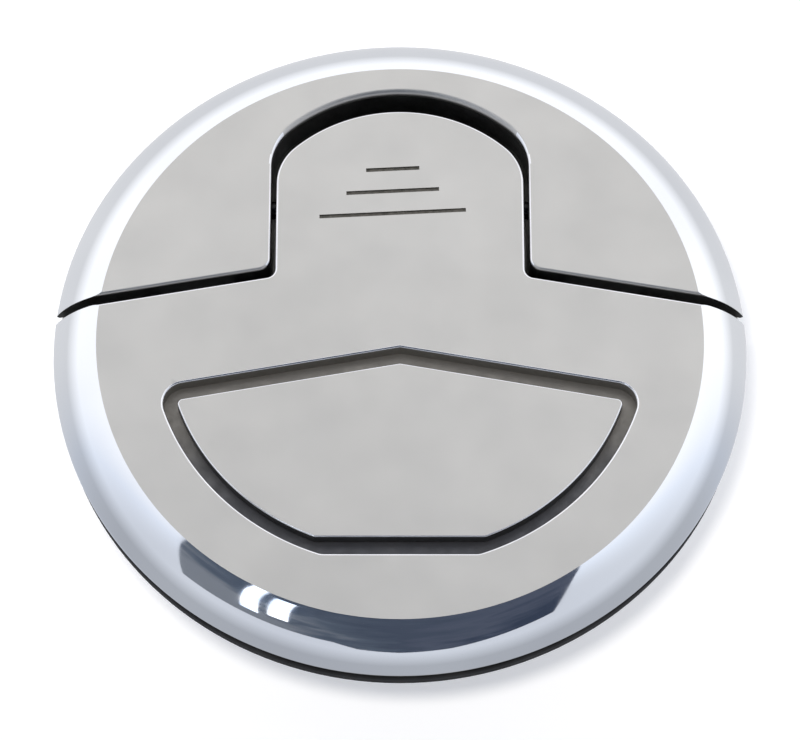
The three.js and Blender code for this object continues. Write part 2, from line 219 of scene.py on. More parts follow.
def hexColour(code, alpha=1.0):  # sRGB hex to linear
    channels = [int(code[i:i + 2], 16) / 255 for i in (0, 2, 4)]
    return [c / 12.92 if c <= 0.04045 else ((c + 0.055) / 1.055) ** 2.4 for c in channels] + [alpha]


def addNode(tree, kind, settings=None, values=None, links=None):
    made = tree.nodes.new(kind)
    for key, value in (settings or {}).items():
        setattr(made, key, value)
    for key, value in (values or {}).items():
        made.inputs[key].default_value = value
    for key, socket in (links or {}).items():
        tree.links.new(socket, made.inputs[key])
    return made


def startMaterial(name, values):
    material = bpy.data.materials.new(name)
    material.use_nodes = True
    tree = material.node_tree
    shader = tree.nodes["Principled BSDF"]
    for key, value in values.items():
        shader.inputs[key].default_value = value
    place = addNode(tree, "ShaderNodeTexCoord").outputs["Object"]
    return material, tree, shader, place


def addRamp(tree, source, stops):
    ramp = addNode(tree, "ShaderNodeValToRGB", links={"Fac": source})
    first, last = stops[0], stops[-1]
    ramp.color_ramp.elements[0].position, ramp.color_ramp.elements[0].color = first
    ramp.color_ramp.elements[1].position, ramp.color_ramp.elements[1].color = last
    for position, colour in stops[1:-1]:
        ramp.color_ramp.elements.new(position).color = colour
    return ramp.outputs["Color"]


def grain(tree, place, sizeMm, detail=2.0, roughness=0.5):  # noise whose blobs are about sizeMm across
    return addNode(tree, "ShaderNodeTexNoise", values={"Scale": 1 / (sizeMm * mm), "Detail": detail,
                   "Roughness": roughness}, links={"Vector": place}).outputs["Fac"]


def addBump(tree, shader, height, depthMm, strength=1.0):
    bump = addNode(tree, "ShaderNodeBump", values={"Distance": depthMm * mm, "Strength": strength},
                   links={"Height": height})
    tree.links.new(bump.outputs["Normal"], shader.inputs["Normal"])
    return bump


def addTint(tree, shader, source, dark, light):  # base colour between two hex values
    tint = addRamp(tree, source, [(0.3, hexColour(dark)), (0.7, hexColour(light))])
    tree.links.new(tint, shader.inputs["Base Color"])
    return tint


def addRoughness(tree, shader, source, low, high):
    grey = addRamp(tree, source, [(0.3, (low, low, low, 1)), (0.7, (high, high, high, 1))])
    tree.links.new(grey, shader.inputs["Roughness"])


# Bead-blasted 316 stainless, lightly buffed: an even, soft light grey with faint clouds.
def satinStainless():
    material, tree, shader, place = startMaterial("satinStainless", {"Metallic": 1.0, "Roughness": 0.4})
    addTint(tree, shader, grain(tree, place, 22, detail=3), "c0beba", "c5c3bf")
    addRoughness(tree, shader, grain(tree, place, 9, detail=4), 0.36, 0.45)
    addBump(tree, shader, grain(tree, place, 0.35, detail=3), 0.004, 0.35)  # blast grit, drawn coarse
    return material


# Mirror-polished 316 stainless: clear reflections, bent a little by the polishing mop.
def polishedStainless():
    material, tree, shader, place = startMaterial("polishedStainless", {"Metallic": 1.0, "Roughness": 0.05})
    addTint(tree, shader, grain(tree, place, 30), "e2e4e8", "eceef1")
    addRoughness(tree, shader, grain(tree, place, 3, detail=4), 0.025, 0.06)
    addBump(tree, shader, grain(tree, place, 9, detail=1), 0.03, 0.25)  # mop waves about 9 mm long
    return material


# Top edges touched on a buffing wheel: smoother than the satin beside them, and tinted brighter as a painted
# highlight along the edges.
def buffedEdge():
    material, tree, shader, place = startMaterial("buffedEdge", {"Metallic": 1.0, "Roughness": 0.2})
    addTint(tree, shader, grain(tree, place, 6, detail=3), "dddde0", "eeeef0")
    addRoughness(tree, shader, grain(tree, place, 3, detail=3), 0.14, 0.26)
    return material


# Lost-wax 316 casting, tumbled but not polished: duller and slightly pebbled; its darker copy is painted
# shade on walls and undersides.
def castStainless(name, dull, bright):
    material, tree, shader, place = startMaterial(name, {"Metallic": 1.0, "Roughness": 0.45})
    addTint(tree, shader, grain(tree, place, 14, detail=5), dull, bright)
    addRoughness(tree, shader, grain(tree, place, 4, detail=4), 0.34, 0.55)
    addBump(tree, shader, grain(tree, place, 0.9, detail=4), 0.05, 0.6)  # cast skin
    return material


# Drawn stainless wire and ground rod: even, slightly streaked; the rod gets a dark tint as painted shade, so
# it stays dark where it shows in the gaps.
def drawnStainless(name, dull, bright):
    material, tree, shader, place = startMaterial(name, {"Metallic": 1.0, "Roughness": 0.25})
    addTint(tree, shader, grain(tree, place, 5), dull, bright)
    addRoughness(tree, shader, grain(tree, place, 0.6, detail=4), 0.2, 0.34)
    return material


# Black enamel rubbed into the engraving: dead matt, slightly patchy.
def engravingEnamel():
    values = {"Roughness": 0.7, "Specular IOR Level": 0.3}
    material, tree, shader, place = startMaterial("engravingEnamel", values)
    addTint(tree, shader, grain(tree, place, 0.8), "474642", "64615c")
    return material


# Etched channel round the inlay: dull grey metal with random blotches, plus painted shade that darkens its
# front (lower) half and leaves its back lighter.
def channelFloor():
    material, tree, shader, place = startMaterial("channelFloor", {"Metallic": 0.6, "Roughness": 0.5})
    upwards = addNode(tree, "ShaderNodeSeparateXYZ", links={"Vector": place}).outputs["Y"]
    # painted shade: this ramp over Y darkens the channel towards its front and leaves its back lighter
    level = addNode(tree, "ShaderNodeMapRange", values={"From Min": -30 * mm, "From Max": -8 * mm},
                    links={"Value": upwards}).outputs["Result"]
    blotch = addNode(tree, "ShaderNodeMath", settings={"operation": "MULTIPLY_ADD"}, values={1: 0.5},
                     links={0: grain(tree, place, 5, detail=5), 2: level}).outputs["Value"]
    tint = addRamp(tree, blotch, [(0.1, hexColour("48494e")), (0.5, hexColour("58585a")),
                                (1.0, hexColour("7a7772"))])
    tree.links.new(tint, shader.inputs["Base Color"])
    addRoughness(tree, shader, grain(tree, place, 2, detail=4), 0.3, 0.6)
    addBump(tree, shader, grain(tree, place, 0.7, detail=4), 0.05, 0.6)
    return material


# Moulded nitrile rubber: near-black, matt, with a dusty bloom.
def nitrileRubber():
    values = {"Roughness": 0.75, "Specular IOR Level": 0.35}
    material, tree, shader, place = startMaterial("nitrileRubber", values)
    addTint(tree, shader, grain(tree, place, 6, detail=5), "161617", "262627")
    addBump(tree, shader, grain(tree, place, 0.5, detail=3), 0.02, 0.5)
    return material


# Glass-filled black nylon: moulded with a fine spark texture that breaks up the highlights.
def blackNylon():
    material, tree, shader, place = startMaterial("blackNylon", {"Roughness": 0.5, "IOR": 1.53})
    addTint(tree, shader, grain(tree, place, 10, detail=4), "1c1d1f", "2a2b2d")
    addRoughness(tree, shader, grain(tree, place, 2, detail=3), 0.42, 0.58)
    addBump(tree, shader, grain(tree, place, 0.4, detail=2), 0.03, 0.6)  # spark texture
    return material


# Machined natural acetal: waxy off-white, soft sheen.
def naturalAcetal():
    material, tree, shader, place = startMaterial("naturalAcetal", {"Roughness": 0.4, "IOR": 1.48,
                                                  "Subsurface Weight": 0.08, "Subsurface Scale": 0.001})
    addTint(tree, shader, grain(tree, place, 3, detail=4), "dedbd0", "ebe8df")
    addBump(tree, shader, grain(tree, place, 0.4), 0.01, 0.4)
    return material


# Tinned copper strip: soft silvery coat with a warm cast.
def tinnedCopper():
    material, tree, shader, place = startMaterial("tinnedCopper", {"Metallic": 1.0, "Roughness": 0.35})
    addTint(tree, shader, grain(tree, place, 3, detail=5), "b5a998", "c9c6bf")
    addBump(tree, shader, grain(tree, place, 1.2, detail=4), 0.02, 0.4)
    return material


# the edge material below is tinted brighter than the satin as a painted highlight along the edges
satin, polished, buffed = satinStainless(), polishedStainless(), buffedEdge()
wire = drawnStainless("drawnStainless", "8c8c8b", "a1a1a0")
# painted shade: the hinge rod's dark tint keeps it dark where it shows through the gaps
rod = drawnStainless("blackenedRod", "2c2c2d", "3a3a3b")
cast = castStainless("castStainless", "95938f", "aba9a5")
# painted shade: a darker copy of the cast finish, put on walls, undersides and lugs
pickled = castStainless("pickledStainless", "6f6e6c", "8a8987")
enamel, channel, rubber = engravingEnamel(), channelFloor(), nitrileRubber()
nylon, acetal, tinned = blackNylon(), naturalAcetal(), tinnedCopper()
print("materials made")


lidHigh = nodeBox("lid")[1]
rimRadius = lidHigh.x
faceZ = lidHigh.z
skirtZ = nodeBox("rear_cover")[0].z
hinge = next(j for j in frame["joints"] if j["name"] == "lid_hinge")
hingeY, hingeZ = hinge["pos_m"][1] / mm, hinge["pos_m"][2] / mm

top = {"faceRadius": 49.2, "cornerZ": 5.2, "round": 10.1, "wallUnder": 7.6, "skirtInner": 52.5,
       "foot": 0.4, "edge": 0.35, "steps": 288}
seam = {"x": 21.6, "y": 11.2, "angle": math.radians(10), "gap": 1.6, "lidRound": 1.6, "coverRound": 2.2,
        "beyond": 10}
tongue = {"half": 20.4, "tip": lidHigh.y, "round": 26.0, "shoulder": 9.0}
arch = {"half": 21.2, "tip": 44.6, "round": 27.5, "shoulder": 9.5, "edge": 1.0}
window = {"radius": 40.1, "foot": -38.1, "apex": -2.2, "slope": 0.18, "corner": 3.6, "footCorner": 3.0,
          "floorZ": 8.1, "moat": 2.8, "sideMoat": 2.3}


def seamY(x, side):
    return seam["y"] - math.tan(seam["angle"]) * (abs(x) - seam["x"]) + side * seam["gap"] / 2


def archPoints(shape):  # right half of the arch, from its upright side to its tip
    centreY = shape["tip"] - shape["round"]
    x = shape["half"] - shape["shoulder"]
    y = centreY + math.sqrt((shape["round"] - shape["shoulder"]) ** 2 - x ** 2)
    tangent = math.atan2(y - centreY, x)
    return (arc(x, y, shape["shoulder"], 0, tangent, 16)
            + arc(0, centreY, shape["round"], tangent, math.pi / 2, 24)[1:])


def mirrored(half):
    left = [(-x, y) for x, y in reversed(half)]
    points = half + left
    return [p for i, p in enumerate(points)
            if math.dist(p, points[(i + 1) % len(points)]) > 1e-5]


def windowPoints(inset, sideInset=None):  # flat foot, round sides, chevron top, corners rounded
    radius = window["radius"] - (inset if sideInset is None else sideInset)
    corner = max(window["corner"] - inset, 0.9)
    foot, slope = window["foot"] + inset, window["slope"]
    tilt = math.hypot(1, slope)
    apex = window["apex"] - inset * tilt
    k = apex - corner * tilt
    root = math.sqrt((k * slope) ** 2 - tilt ** 2 * (k ** 2 - (radius - corner) ** 2))
    x = (k * slope + root) / tilt ** 2
    y = k - slope * x
    sideEnd = math.atan2(y, x)
    footRound = max(window["footCorner"] - inset, 0.6)
    fy = foot + footRound
    fx = math.sqrt((radius - footRound) ** 2 - fy ** 2)
    sideStart = math.atan2(fy, fx)
    return mirrored(arc(fx, fy, footRound, -math.pi / 2, sideStart, 8)
                    + arc(0, 0, radius, sideStart, sideEnd, 40)[1:]
                    + arc(x, y, corner, sideEnd, math.atan2(1, slope), 14)[1:] + [(0, apex)])


def grownArch(grow, fromY):  # the arch made wider all round, closed by a straight edge at fromY
    shape = {key: arch[key] + grow for key in ("half", "tip", "round", "shoulder")}
    return mirrored([(0, fromY), (shape["half"], fromY)] + archPoints(shape))


def rimProfile(low):  # flat face, convex rim, short upright edge
    ax, az, bx, bz = top["faceRadius"], faceZ, rimRadius, top["cornerZ"]
    chord = math.dist((ax, az), (bx, bz))
    rise = math.sqrt(top["round"] ** 2 - chord ** 2 / 4)
    cx = (ax + bx) / 2 + (bz - az) / chord * rise
    cz = (az + bz) / 2 - (bx - ax) / chord * rise
    start, end = math.atan2(bz - cz, bx - cx), math.atan2(az - cz, ax - cx)
    return [(0, low), (rimRadius - top["foot"], low), (rimRadius, low + top["foot"])] \
        + arc(cx, cz, top["round"], start, end, 28) + [(0, faceZ)]


def wingOutline():  # the lid: tongue, seam and a wide lower half that the round top trims
    far, corner = rimRadius + seam["beyond"], seam["lidRound"]
    y = seamY(seam["x"], -1)
    fillet = arc(tongue["half"] + corner, y + corner, corner, -math.pi / 2 - seam["angle"], -math.pi, 8)
    return mirrored([(0, -far), (far, -far), (far, seamY(far, -1))] + fillet + archPoints(tongue))


def coverOutline():
    far, corner = rimRadius + seam["beyond"], seam["coverRound"]
    inside = list(reversed(archPoints(arch)))
    y = seamY(arch["half"] + 2, 1)
    fillet = arc(arch["half"] + corner, y + corner, corner, math.pi, math.pi * 1.5 - seam["angle"], 8)
    return mirrored(inside + fillet + [(far, seamY(far, 1)), (far, far), (0, far)])


def makePuck(name):
    puck = turned(name, rimProfile(skirtZ), steps=top["steps"])
    for up in (1, -1):
        selectFaces(puck, lambda spot, normal: normal.z * up > 0.9999)
        bpy.ops.mesh.dissolve_faces()
        closeEdit()
    return puck


def radiusOf(point):
    return math.hypot(point[0], point[1])


def markCrease(obj):  # the crisp line where the rim meets the flat face
    selectEdges(obj, lambda a, b: all(abs(radiusOf(p) - top["faceRadius"]) < 0.02
                                      and abs(p.z - faceZ) < 0.01 for p in (a, b)))
    bpy.ops.mesh.mark_sharp()
    closeEdit()


def weighTopEdges(obj, weightAt):  # bevel weights on the edges between walls and the top surface
    mesh = obj.data
    touching = {}
    for face in mesh.polygons:
        for key in face.edge_keys:
            touching.setdefault(key, []).append(face.normal)
    weights = mesh.attributes.new("bevel_weight_edge", "FLOAT", "EDGE")
    for edge in mesh.edges:
        normals = touching.get(edge.key, [])
        if len(normals) != 2:
            continue
        flatter, steeper = sorted(normals, key=lambda n: -n.z)
        middle = sum((mesh.vertices[i].co for i in edge.vertices), Vector()) / 2 / mm
        onTop = radiusOf(middle) < rimRadius and middle.z > faceZ - 0.01
        if onTop and flatter.z > 0.9 and abs(steeper.z) < 0.05:
            weights.data[edge.index].value = weightAt(middle)


def isBuffed(spot, normal, keepTip):  # rounded top edges, except the arch's own tip on the cover
    sloping = 0.15 < normal.z < 0.985
    if not (sloping and spot.z > faceZ - 0.45 and radiusOf(spot) < top["faceRadius"] + 0.5):
        return False
    return keepTip or abs(normal.x) > 1.4 * abs(normal.y)


# Slots: 0 satin face, 1 polished rim, 2 darker cast copy as painted shade on walls and undersides, 3 channel,
# 4 enamel, 5 edge rounds smoothed on a buffing wheel and tinted brighter as a painted highlight.
def paintTop(obj, channelZ=None, keepTip=True):
    for face in obj.data.polygons:
        spot, normal = face.center / mm, face.normal
        up, out = normal.z, radiusOf(spot)
        inWindow = channelZ and out < 42 and spot.y < 2
        outward = normal.x * spot.x + normal.y * spot.y > 0
        alongRim = abs(normal.y * spot.x - normal.x * spot.y) < 0.2 * out
        if out > top["faceRadius"] and spot.z > skirtZ + 0.01 and outward and up > -0.05 and alongRim:
            face.material_index = 1
        elif up > 0.99 and faceZ - 0.5 < spot.z < faceZ - 0.3:
            face.material_index = 4
        elif isBuffed(spot, normal, keepTip):
            face.material_index = 5
        elif inWindow and spot.z < faceZ - top["edge"] + 0.01 and spot.z > channelZ - 0.01:
            face.material_index = 3
        elif up > 0.05 and spot.z > top["wallUnder"]:
            face.material_index = 0
        else:
            face.material_index = 2


lidParts = {"lugInner": 9.5, "lugOuter": 18.5, "lugRadius": 3.9, "lugHalf": 3.5, "bore": 2.7,
            "bossZ": 6.0, "line": 0.68, "lineDepth": 0.4, "lineTurn": 3.0,
            "lines": [(30.3, 8.8), (26.2, 15.3), (22.1, 24.1)], "linesX": -1.2,
            "stud": (20.0, -20.0, 1.5), "lugInset": 0.3, "windowWall": 1.5}


def makeLid():
    lid = slab("lid_shell", wingOutline(), skirtZ - 2, faceZ)
    combine(lid, slab("cutter", windowPoints(0), window["floorZ"], faceZ + 2))
    weighTopEdges(lid, lambda p: top["edge"])
    applyModifier(lid, "BEVEL", limit_method="WEIGHT", width=1.0 * mm, segments=4,
                  use_clamp_overlap=False)
    combine(lid, makePuck("puck"), "INTERSECT")
    combine(lid, cylinder("cutter", top["skirtInner"], skirtZ - 3, top["wallUnder"], sides=192))
    boss = slab("boss", windowPoints(-lidParts["windowWall"]), lidParts["bossZ"], top["wallUnder"] + 0.3)
    combine(lid, boss, "UNION")
    for side in (-1, 1):
        x0, x1 = sorted((side * lidParts["lugInner"], side * lidParts["lugOuter"]))
        combine(lid, crossCylinder("lug", lidParts["lugRadius"], x0, x1, hingeY, hingeZ), "UNION")
        inset, half = lidParts["lugInset"], lidParts["lugHalf"]
        combine(lid, block("lug", (x0 + inset, hingeY - half, hingeZ),
                           (x1 - inset, hingeY + half, top["wallUnder"] + 0.5)), "UNION")
        combine(lid, crossCylinder("bore", lidParts["bore"], x0 - 1, x1 + 1, hingeY, hingeZ))
        x, y, r = side * lidParts["stud"][0], lidParts["stud"][1], lidParts["stud"][2]
        low, high = lidParts["bossZ"] - 1, window["floorZ"] + 0.5
        combine(lid, cylinder("stud", r, low, high, x, y, sides=32))
    for y, length in lidParts["lines"]:
        x, half = lidParts["linesX"], lidParts["line"] / 2
        combine(lid, block("line", (x - length / 2, y - half, faceZ - lidParts["lineDepth"]),
                           (x + length / 2, y + half, faceZ + 1), math.radians(lidParts["lineTurn"])))
    markCrease(lid)
    smooth(lid)
    paintTop(lid, window["floorZ"])
    return finishTop(lid, "lid", "lid")


def finishTop(obj, body, node):
    indices = [face.material_index for face in obj.data.polygons]
    finishPiece(obj, body, [node], [satin, polished, pickled, channel, enamel, buffed])
    for face, index in zip(obj.data.polygons, indices):
        face.material_index = index
    return obj


makeLid()
print("lid made")


coverParts = {"tabX": 33.0, "tabY": 4.5, "tabRadius": 6.0, "tabZ": 6.6, "screwHead": 3.4,
              "screwShank": 1.6, "screwLength": 10.0, "post": 26.0, "wall": 2.0, "archWall": 1.8}


def makeRearCover():
    cover = slab("rear_cover_shell", coverOutline(), skirtZ - 2, faceZ)
    slope = (arch["edge"] - top["edge"]) / 8  # the arch's edge is rounded most at its tip
    least = top["edge"] + 0.15
    weighTopEdges(cover, lambda p: min(arch["edge"], max(least, top["edge"] + slope * (p.y - 30))))
    applyModifier(cover, "BEVEL", limit_method="WEIGHT", width=1.0 * mm, segments=5,
                  use_clamp_overlap=False)
    combine(cover, makePuck("puck"), "INTERSECT")
    hollow = cylinder("hollow", top["skirtInner"], skirtZ - 1, top["wallUnder"], sides=192)
    far, wall = rimRadius + seam["beyond"], coverParts["wall"]
    behind = mirrored([(arch["half"] + wall, seamY(arch["half"], 1) + wall), (far, seamY(far, 1) + wall),
                       (far, far), (0, far)])
    combine(hollow, slab("behind", behind, skirtZ - 2, faceZ), "INTERSECT")
    combine(hollow, slab("wall", grownArch(coverParts["archWall"], -far), skirtZ - 3, faceZ + 1))
    combine(cover, hollow)
    for side in (-1, 1):
        x0, x1 = sorted((side * (arch["half"] - 1), side * (coverParts["post"] + 1)))
        combine(cover, block("room", (x0, hingeY - 5, skirtZ - 1), (x1, hingeY + 5, top["wallUnder"])))
        x, y, r = side * coverParts["tabX"], coverParts["tabY"], coverParts["tabRadius"]
        combine(cover, cylinder("tab", r, skirtZ, coverParts["tabZ"], x, y), "UNION")
        tab = block("tab", (x - r, y, skirtZ), (x + r, seamY(x, 1) + 1.5, coverParts["tabZ"]))
        combine(cover, tab, "UNION")
        combine(cover, screwHole(x, y, coverParts["tabZ"], coverParts["screwHead"], coverParts["screwShank"]))
    markCrease(cover)
    smooth(cover)
    paintTop(cover, keepTip=False)
    return finishTop(cover, "base", "rear_cover")


def screwHole(x, y, seat, head, shank, gap=0.3, depth=14):
    h, s = head + gap, shank + gap
    hole = turned("hole", [(0, seat - depth), (s, seat - depth), (s, seat - (h - s) - 0.5), (h, seat - 0.5),
                           (h, seat + 3), (0, seat + 3)], steps=48)
    hole.location = (x * mm, y * mm, 0)
    return settle(hole, "hole")


makeRearCover()
print("rear cover made")


plate = {"edge": 0.22, "lift": 0.3, "studRadius": 1.2, "studUnder": 4.9}


def makeInlay():
    low = window["floorZ"] + plate["lift"]
    inlay = slab("inlay_plate", windowPoints(window["moat"], window["sideMoat"]), low, faceZ)
    weighTopEdges(inlay, lambda p: plate["edge"])
    applyModifier(inlay, "BEVEL", limit_method="WEIGHT", width=1.0 * mm, segments=4)
    x, y = lidParts["stud"][:2]
    for side in (-1, 1):
        stud = cylinder("stud", plate["studRadius"], plate["studUnder"], low + 0.5, side * x, y, sides=32)
        combine(inlay, stud, "UNION")
    smooth(inlay)
    paintTop(inlay)
    # the inlay's underside also takes slot 2, the darker cast copy that stands as painted shade
    for face in inlay.data.polygons:
        if face.normal.z < -0.9:
            face.material_index = 2
    return finishTop(inlay, "lid", "ident_plate")


makeInlay()
print("inlay made")


def rounded(obj, width, degrees=40, segments=3):  # small rounds on every sharp edge
    applyModifier(obj, "BEVEL", limit_method="ANGLE", angle_limit=math.radians(degrees), width=width * mm,
                  segments=segments)
    return obj


base = {"radius": 55.8, "under": 2.3, "top": 4.1, "bowl": 29.0, "wall": 3.0, "floorZ": -14.5, "underZ": -17.0,
        "pocketCut": 46.2, "neckHole": 21.0, "post": (22.0, 26.0), "postHalf": 4.0, "postTop": 7.2,
        "bossRadius": 4.0, "bossUnder": -7.0, "thread": 1.9, "slot": 1.8, "heel": 2.5, "fillet": 1.5,
        "bowlFillet": 2.0, "lip": 0.6, "edge": 0.4, "pocketRound": 1.0, "postRound": 0.5}
mounting = {"count": 6, "circle": 51.5, "head": 3.6, "shank": 1.9}
neckScrews = {"count": 3, "circle": 24.7, "head": 3.0, "shank": 1.5, "length": 7.0, "pitch": 0.6}
bond = {"hole": 2.4}  # clearance for the bonding screw


def makeBase():
    r, under, low, high = base["bowl"], base["underZ"], base["under"], base["top"]
    outer, heel, fillet = r + base["wall"], base["heel"], base["fillet"]
    body = turned("base_casting", [(0, under), (outer - heel, under)]
                  + arc(outer - heel, under + heel, heel, -math.pi / 2, 0, 8)[1:]
                  + [(outer, low - fillet + 0.1)]
                  + arc(outer + fillet, low - fillet + 0.1, fillet, math.pi, math.pi / 2, 6)[1:]
                  + [(outer + fillet, low + 1), (0, low + 1)], steps=160)
    flange = cylinder("flange", base["radius"], low, high, sides=160)
    combine(body, rounded(flange, base["edge"], segments=1), "UNION")
    pocket = slab("pocket", grownArch(3.0, 10), under, low + 1)
    combine(pocket, cylinder("trim", base["pocketCut"], under - 1, high, sides=160), "INTERSECT")
    combine(body, rounded(pocket, base["pocketRound"]), "UNION")
    for side in (-1, 1):
        x, y = side * coverParts["tabX"], coverParts["tabY"]
        boss = cylinder("boss", base["bossRadius"], base["bossUnder"], low + 0.5, x, y, sides=40)
        combine(body, boss, "UNION")
    floorZ, curve, lip = base["floorZ"], base["bowlFillet"], base["lip"]
    combine(body, turned("bowl", [(0, floorZ), (r - curve, floorZ)]
                         + arc(r - curve, floorZ + curve, curve, -math.pi / 2, 0, 8)[1:]
                         + [(r, high - lip), (r + lip, high), (r + lip, high + 1), (0, high + 1)], steps=128))
    combine(body, slab("pocket", grownArch(0.4, 10), floorZ, high + 1))
    combine(body, cylinder("hole", base["neckHole"], under - 1, floorZ + 1, sides=96))
    for side in (-1, 1):
        x0, x1 = sorted((side * base["post"][0], side * base["post"][1]))
        post = block("post", (x0, hingeY - base["postHalf"], low + 0.2),
                     (x1, hingeY + base["postHalf"], base["postTop"]))
        combine(body, rounded(post, base["postRound"]), "UNION")
        combine(body, crossCylinder("slot", base["slot"], x0 - 1, x1 + 1, hingeY, hingeZ, sides=40))
        combine(body, block("slot", (x0 - 1, hingeY - base["slot"], hingeZ),
                            (x1 + 1, hingeY + base["slot"], base["postTop"] + 1)))
        combine(body, cylinder("thread", base["thread"], base["bossUnder"] + 1, high + 1,
                               side * coverParts["tabX"], coverParts["tabY"], sides=32))
    for x, y in onCircle(mounting["count"], mounting["circle"], 30):
        combine(body, screwHole(x, y, high, mounting["head"], mounting["shank"]))
    for x, y in onCircle(neckScrews["count"], neckScrews["circle"], 30):
        combine(body, screwHole(x, y, floorZ, neckScrews["head"], neckScrews["shank"]))
    smooth(body, 30)
    finishPiece(body, "base", ["base_flange"], [cast])


gasket = {"inner": 47.8, "outer": 56.1, "top": 2.0, "round": 0.35}
neckSeal = {"inner": 21.3, "outer": 27.8, "low": -18.3, "high": -17.3, "round": 0.2}


def flatRing(name, size, low, high, steps):
    inner, outer, r = size["inner"], size["outer"], size["round"]
    quarter = math.pi / 2
    return turned(name, arc(inner + r, low + r, r, math.pi, 3 * quarter, 3)
                  + arc(outer - r, low + r, r, -quarter, 0, 3)
                  + arc(outer - r, high - r, r, 0, quarter, 3)
                  + arc(inner + r, high - r, r, quarter, math.pi, 3), steps=steps)


def makeGaskets():
    deck = flatRing("deck_gasket_ring", gasket, 0, gasket["top"], 160)
    for x, y in onCircle(mounting["count"], mounting["circle"], 30):
        combine(deck, cylinder("hole", mounting["shank"] + 0.3, -1, gasket["top"] + 1, x, y, sides=32))
    smooth(deck, 40)
    finishPiece(deck, "base", ["deck_gasket"], [rubber])
    seal = flatRing("neck_gasket_ring", neckSeal, neckSeal["low"], neckSeal["high"], 96)
    for x, y in onCircle(neckScrews["count"], neckScrews["circle"], 30):
        combine(seal, cylinder("hole", neckScrews["shank"] + 0.3, -20, -16, x, y, sides=32))
    combine(seal, cylinder("hole", bond["hole"], -20, -16, 0, neckScrews["circle"], sides=32))
    smooth(seal, 40)
    finishPiece(seal, "base", ["neck_gasket"], [rubber])


neck = {"bore": 16.2, "outer": 19.0, "root": 18.4, "collar": 20.6, "lip": 17.4, "channel": 19.2, "top": -5.3,
        "bottom": -62.0, "flange": 28.0, "flangeTop": -18.6, "flangeUnder": -21.6, "barbs": 3, "pitch": 9.0,
        "entryHalf": 7.2, "entryPlay": 0.12, "capBottom": -11.5, "edge": 0.4, "lipEdge": 0.5,
        "lipDeep": 2.4, "fillet": 1.5, "collarFillet": 0.6}


def makeNeck():
    bore, root, high, bottom = neck["bore"], neck["root"], neck["top"], neck["bottom"]
    edge, lipEdge, quarter = neck["edge"], neck["lipEdge"], math.pi / 2
    profile = [(bore, bottom + edge), (bore + edge, bottom), (root - 1.2, bottom),
               (root - 0.7, bottom + edge)]
    for i in range(neck["barbs"]):
        z = bottom + 1 + neck["pitch"] * i
        crest = z + neck["pitch"] - 2.9
        profile += [(root, z), (neck["outer"] + 0.55, crest)]
        profile += arc(neck["outer"] + 0.4, crest + 0.25, 0.3, -0.3, quarter, 4)
        profile += [(root, crest + 0.9)]
    under, over, flange = neck["flangeUnder"], neck["flangeTop"], neck["flange"]
    fillet, small = neck["fillet"], neck["collarFillet"]
    profile += arc(root + fillet, under - fillet, fillet, math.pi, quarter, 6)
    profile += [(flange - edge, under), (flange, under + edge), (flange, over - edge), (flange - edge, over)]
    profile += arc(neck["collar"] + small, over + small, small, 3 * quarter, math.pi, 4)
    lipLow = high - neck["lipDeep"]
    profile += [(neck["collar"], high - lipEdge), (neck["collar"] - lipEdge, high),
                (neck["lip"] + lipEdge, high), (neck["lip"], high - lipEdge), (neck["lip"], lipLow),
                (neck["channel"], lipLow), (neck["channel"], neck["capBottom"] - 1),
                (bore, neck["capBottom"] - 1.6)]
    body = turned("neck_casting", profile, steps=128)
    half = neck["entryHalf"]
    entry = cylinder("entry", neck["channel"] - neck["entryPlay"], high - 3, high + 1, sides=96)
    combine(entry, block("half", (-30, -half, -30), (30, half, 30)), "INTERSECT")
    combine(entry, cylinder("keep", neck["lip"] - 1, high - 4, high + 2, sides=96))
    combine(body, entry)
    for x, y in onCircle(neckScrews["count"], neckScrews["circle"], 30):
        combine(body, cylinder("hole", neckScrews["shank"] + 0.3, under - 1, over + 1, x, y, sides=32))
    combine(body, cylinder("hole", bond["hole"], under - 1, over + 1, 0, neckScrews["circle"], sides=32))
    smooth(body, 30)
    finishPiece(body, "base", ["filler_neck"], [cast])


makeBase()
makeGaskets()
makeNeck()
print("base, gaskets and neck made")


cap = {"radius": 21.5, "under": -4.6, "top": -1.6, "edge": 0.4, "shoulder": 1.0, "plug": 16.9,
       "plugWall": 3.0, "plugEdge": 0.5, "bottom": -11.5, "lineRadius": 15.9, "lineDepth": 0.3,
       "gripTop": 5.0, "gripLong": 19.0, "gripWide": 6.5, "gripRound": 1.2, "scoop": 12.0, "scoopY": 14.2,
       "lugRadius": 18.8, "lugTop": -8.1, "lugUnder": -10.5, "lugHalf": 6.0, "notches": 12, "notch": 1.5,
       "groove": 19.0, "grooveHalf": 1.0, "grooveTop": -3.1, "ring": 0.7, "ringZ": -4.15}


def capProfile():  # hollow plug, seal groove, rim and the shallow line round the grip
    plug, under, radius, high, low = cap["plug"], cap["under"], cap["radius"], cap["top"], cap["bottom"]
    inside, line, deep = plug - cap["plugWall"], cap["lineRadius"], cap["lineDepth"]
    inner, outer = cap["groove"] - cap["grooveHalf"], cap["groove"] + cap["grooveHalf"]
    return ([(0, low + cap["plugWall"]), (inside, low + cap["plugWall"]), (inside, low + deep),
             (inside + deep, low), (plug - cap["plugEdge"], low), (plug, low + cap["plugEdge"]),
             (plug, under), (inner, under), (inner, cap["grooveTop"]), (outer, cap["grooveTop"]),
             (outer, under),
             (radius - cap["edge"], under), (radius, under + cap["edge"])]
            + arc(radius - cap["shoulder"], high - cap["shoulder"], cap["shoulder"], 0, math.pi / 2, 6)
            + [(line + deep, high), (line, high - deep), (line - deep, high), (0, high)])


